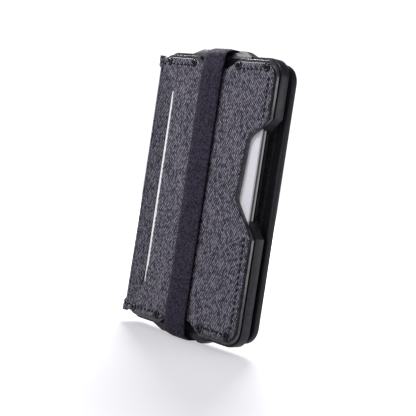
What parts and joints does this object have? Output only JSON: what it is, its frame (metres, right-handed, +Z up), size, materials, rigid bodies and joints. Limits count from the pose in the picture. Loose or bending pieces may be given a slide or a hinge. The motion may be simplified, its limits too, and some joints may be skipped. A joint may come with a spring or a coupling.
{
  "type": "minimalist wallet",
  "caption": "Slim card wallet: screwed metal chassis with fabric front, thumb cut-out and elastic band, and a fabric leaf that folds round behind it.",
  "frame": {"origin": "middle of the wallet's plan, on the surface that it stands on: the underside of the elastic band at the lower short end", "axes": "+X across the wallet towards the thumb cut-out, +Y from the front towards the back leaf, +Z up along the long side"},
  "size_m": [0.0662, 0.0136, 0.1084],
  "materials": {
    "heather_fabric": "heather twill, matte",
    "lining_fabric": "fine black weave, matte",
    "pocket_fabric": "fine charcoal weave, matte",
    "elastic_webbing": "ribbed elastic webbing, matte",
    "black_anodised": "black anodised aluminium, satin",
    "frame_anodised": "bead-blasted black anodised aluminium, satin",
    "gasket_rubber": "matte",
    "pad_foam": "closed-cell foam, matte",
    "card_white": "laminated card, semi-gloss",
    "card_charcoal": "laminated card, semi-gloss",
    "card_silver": "laminated card, metallic print",
    "screw_black": "black oxide steel, glossy",
    "insert_brass": "knurled, machined",
    "slip_paper": "smooth card stock",
    "stiffener_board": "pressed fibre board",
    "shield_foil": "rolled foil",
    "edge_binding": "painted and burnished edge, satin"
  },
  "bodies": {
    "chassis": {"front_skin": "heather_fabric", "front_base_fabric": "heather_fabric", "front_plate": "black_anodised", "spacer_gasket": "gasket_rubber", "chassis_frame": "frame_anodised", "pressure_pad": "pad_foam", "card_middle": "card_charcoal", "card_rear": "card_silver", "front_screws": "screw_black", "screw_cups": "screw_black", "thread_inserts": "insert_brass", "elastic_band": "elastic_webbing", "band_seam": "elastic_webbing"},
    "quick_card": {"card_front": "card_white"},
    "paper_slip": {"pocket_slip": "slip_paper"},
    "spine": {"spine_fabric": "heather_fabric", "spine_lining": "lining_fabric", "spine_hem_top": "heather_fabric", "spine_hem_bottom": "heather_fabric"},
    "leaf": {"leaf_fabric": "heather_fabric", "leaf_board": "stiffener_board", "rfid_foil": "shield_foil", "leaf_lining": "lining_fabric", "leaf_binding": "edge_binding", "leaf_pocket_low": "pocket_fabric", "leaf_pocket_mid": "pocket_fabric", "leaf_pocket_high": "pocket_fabric"}
  },
  "joints": [
    {"name": "spine_fold", "type": "hinge", "parent": "chassis", "child": "spine", "pos_m": [-0.03235, -0.0041, 0.0542], "axis": [0, 0, 1], "range_deg": [0, 90]},
    {"name": "leaf_fold", "type": "hinge", "parent": "spine", "child": "leaf", "pos_m": [-0.03235, 0.0065, 0.0542], "axis": [0, 0, 1], "range_deg": [0, 90]},
    {"name": "card_slide", "type": "slide", "parent": "chassis", "child": "quick_card", "axis": [1, 0, 0], "range_m": [0, 0.056]},
    {"name": "slip_slide", "type": "slide", "parent": "chassis", "child": "paper_slip", "axis": [-1, 0, 0], "range_m": [0, 0.042]}
  ],
  "couplings": [
    {"joint": "spine_fold", "follows": "leaf_fold", "ratio": 1}
  ]
}
